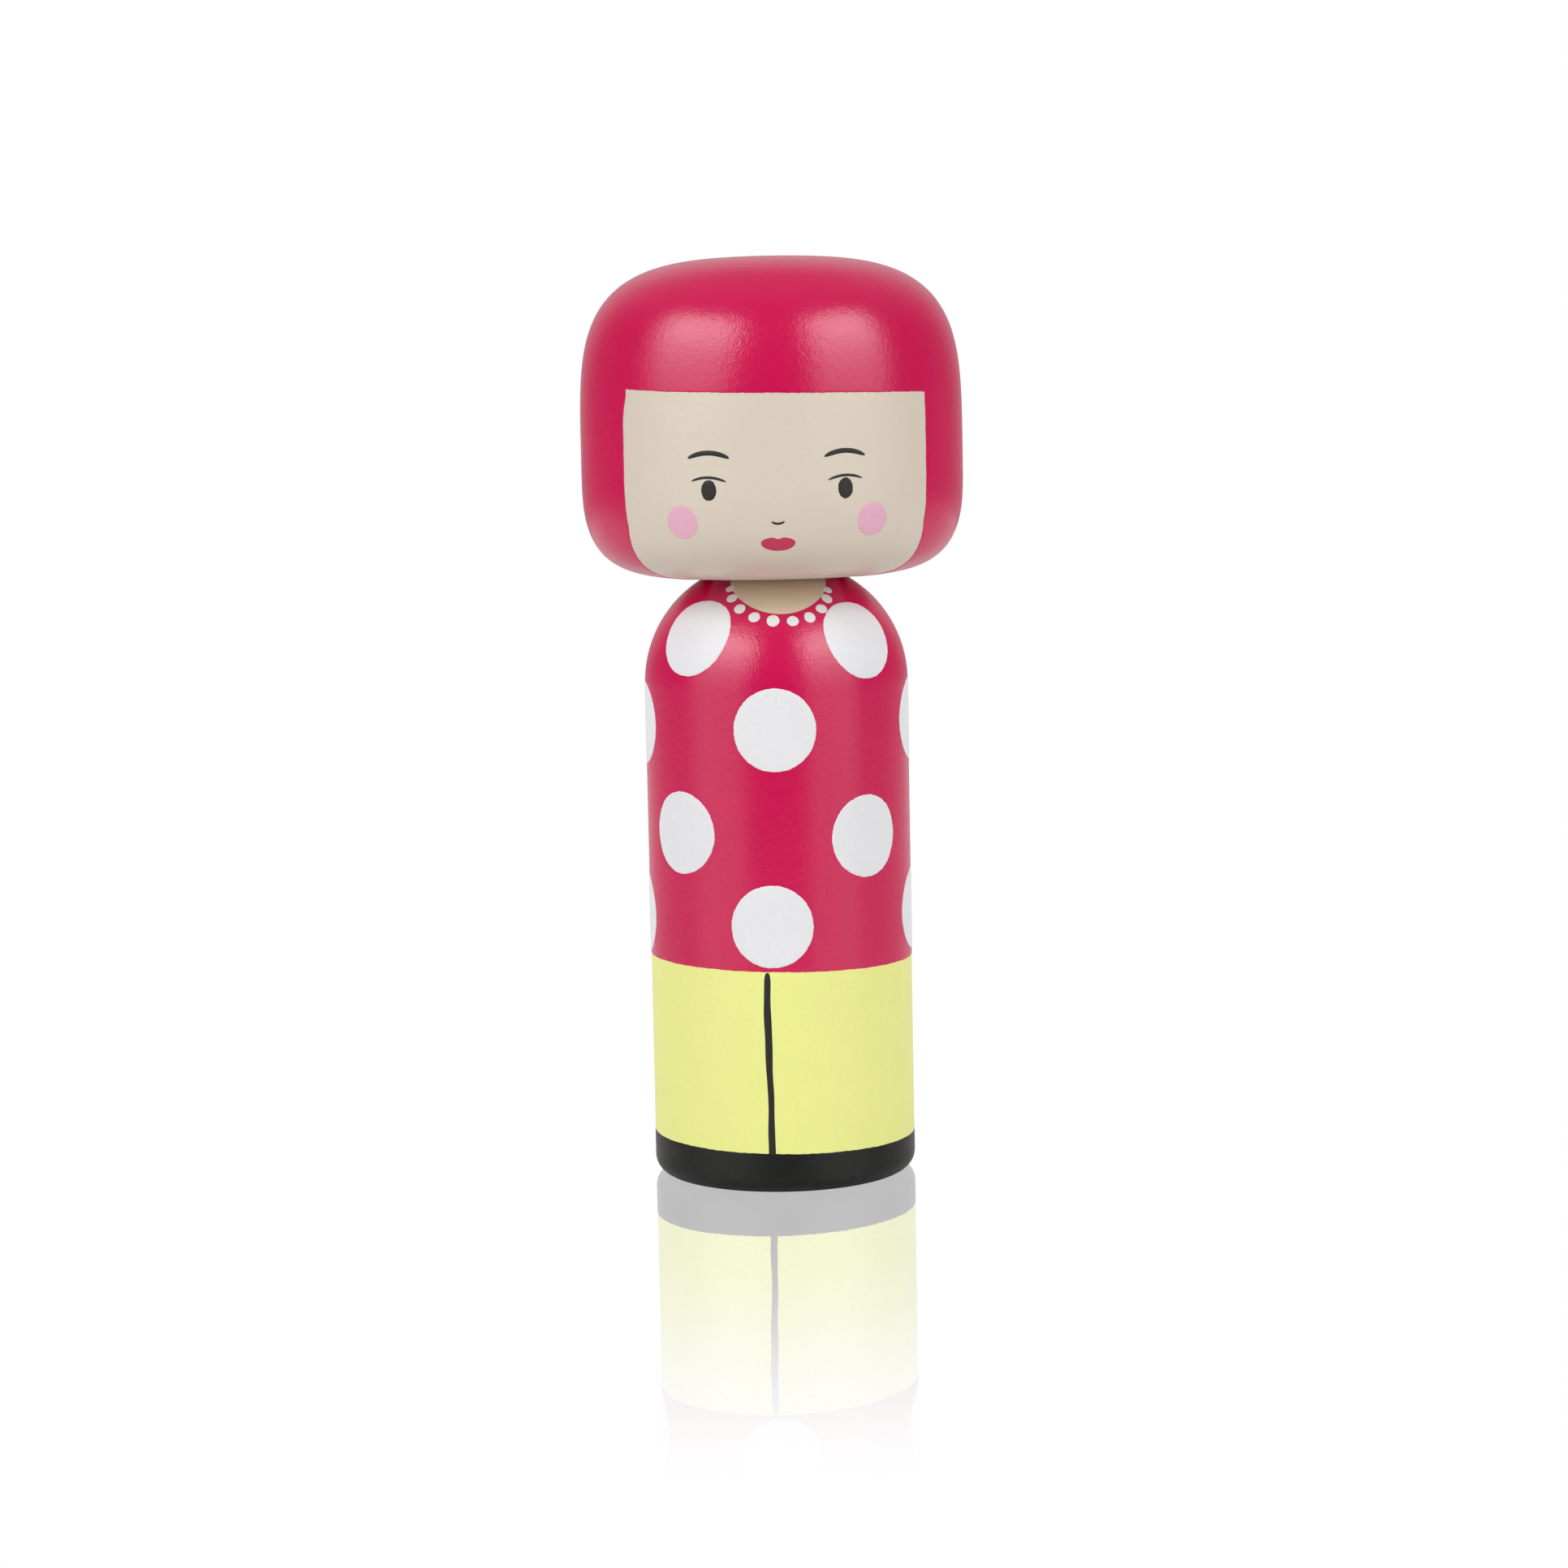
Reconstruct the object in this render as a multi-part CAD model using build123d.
from build123d import *
from math import cos, pi, sin, sqrt
import os

# A kokeshi doll: a turned wooden head that swivels on a dowel set in a turned wooden body.
# Millimetres, +Z up. The face looks along -Y, and the origin is the centre of the foot, on
# the surface that the doll stands on. Every piece is turned about the Z axis.

# Driving dimensions
TOTAL_HEIGHT = 145.0
BODY_HEIGHT = 95.0
BODY_RADIUS = 20.8
HEAD_RADIUS = 30.0

# Body
SHOULDER_RADIUS = 19.0  # the arc that closes the straight side in towards the neck
SHOULDER_START_Z = 78.5
FOOT_ROUNDING = 2.6

# Head, whose outline is two superellipse quarters that meet at the widest ring
SEAT_GAP = 0.1  # running clearance between the body's flat top and the head
HEAD_WIDEST_Z = 112.4
CROWN_POWERS = (3.28, 4.23)  # radial and axial powers above the widest ring
JAW_POWERS = (5.3, 3.1)  # and below it
QUARTER_STEPS = 16  # spline spans that carry each quarter

# Neck dowel and the two blind holes that hold it
DOWEL_RADIUS = 4.0
DOWEL_LENGTH = 44.0
DOWEL_CHAMFER = 0.8
GLUE_POCKET = 1.0  # left free under the glued end
BODY_HOLE_DEPTH = 26.0
HEAD_HOLE_DEPTH = 20.5
HEAD_HOLE_CLEARANCE = 0.05  # on the radius, so that the head turns
HOLE_CHAMFER = 0.6

# Worked out from the above
HEAD_BASE_Z = BODY_HEIGHT + SEAT_GAP
SHOULDER_RISE = BODY_HEIGHT - SHOULDER_START_Z
SEAT_RADIUS = BODY_RADIUS - SHOULDER_RADIUS + sqrt(SHOULDER_RADIUS**2 - SHOULDER_RISE**2)


def superellipse_quarter(height, powers):
    """Points (radius, height above the widest ring), from the widest ring to the pole."""
    radial_power, axial_power = powers
    points = []
    for step in range(QUARTER_STEPS):
        # The squared sine puts the points at even distances, as the curve is flat at both ends.
        angle = pi / 2 * sin(pi / 2 * step / QUARTER_STEPS) ** 2
        radius = HEAD_RADIUS * cos(angle) ** (2 / radial_power)
        points.append((radius, height * sin(angle) ** (2 / axial_power)))
    return [*points, (0, height)]


def turned(*outline):
    """The solid that a closed outline of (radius, z) edges makes about the Z axis."""
    return revolve(Plane.XZ * make_face([*outline]), Axis.Z, 360)


def blind_hole(radius, depth, mouth_z, direction):
    """The cutter of a hole with a chamfered mouth, from mouth_z along direction, +1 or -1."""
    chamfer_z = mouth_z + direction * HOLE_CHAMFER
    end_z = mouth_z + direction * depth
    mouth = (radius + HOLE_CHAMFER, mouth_z)
    return turned(
        Polyline((0, mouth_z), mouth, (radius, chamfer_z), (radius, end_z), (0, end_z), close=True)
    )


def make_body():
    """A straight side with a rounded foot, arched shoulders, a flat seat and the dowel's hole."""
    foot_edge = (BODY_RADIUS - FOOT_ROUNDING, 0)
    side_start = (BODY_RADIUS, FOOT_ROUNDING)
    side_end = (BODY_RADIUS, SHOULDER_START_Z)
    seat_edge = (SEAT_RADIUS, BODY_HEIGHT)
    turning = turned(
        Line((0, 0), foot_edge),
        RadiusArc(foot_edge, side_start, -FOOT_ROUNDING),
        Line(side_start, side_end),
        RadiusArc(side_end, seat_edge, -SHOULDER_RADIUS),
        Line(seat_edge, (0, BODY_HEIGHT)),
        Line((0, BODY_HEIGHT), (0, 0)),
    )
    return turning - blind_hole(DOWEL_RADIUS, BODY_HOLE_DEPTH, BODY_HEIGHT, -1)


def make_head():
    """A rounded block with a flat seat underneath and a hole that turns on the dowel."""
    crown = superellipse_quarter(TOTAL_HEIGHT - HEAD_WIDEST_Z, CROWN_POWERS)
    jaw = superellipse_quarter(HEAD_WIDEST_Z - HEAD_BASE_Z, JAW_POWERS)
    crown_points = [(radius, HEAD_WIDEST_Z + height) for radius, height in crown]
    jaw_points = [(radius, HEAD_WIDEST_Z - height) for radius, height in jaw if radius > SEAT_RADIUS]
    jaw_points.append((SEAT_RADIUS, HEAD_BASE_Z))
    turning = turned(
        Spline(*crown_points, tangents=[(0, 1), (-1, 0)]),
        Line(crown_points[-1], (0, HEAD_BASE_Z)),
        Line((0, HEAD_BASE_Z), jaw_points[-1]),
        Spline(*reversed(jaw_points), tangents=[(1, 0), (0, 1)]),
    )
    hole_radius = DOWEL_RADIUS + HEAD_HOLE_CLEARANCE
    return turning - blind_hole(hole_radius, HEAD_HOLE_DEPTH, HEAD_BASE_Z, 1)


def make_neck_dowel():
    """A plain peg with chamfered ends, standing in the body's hole."""
    foot_z = BODY_HEIGHT - BODY_HOLE_DEPTH + GLUE_POCKET
    peg = Cylinder(DOWEL_RADIUS, DOWEL_LENGTH, align=(Align.CENTER, Align.CENTER, Align.MIN))
    peg = chamfer(peg.edges().filter_by(GeomType.CIRCLE), DOWEL_CHAMFER)
    return Pos(0, 0, foot_z) * peg


os.makedirs("parts", exist_ok=True)
export_step(make_body(), "parts/body.step")
export_step(make_head(), "parts/head.step")
export_step(make_neck_dowel(), "parts/neck_dowel.step")
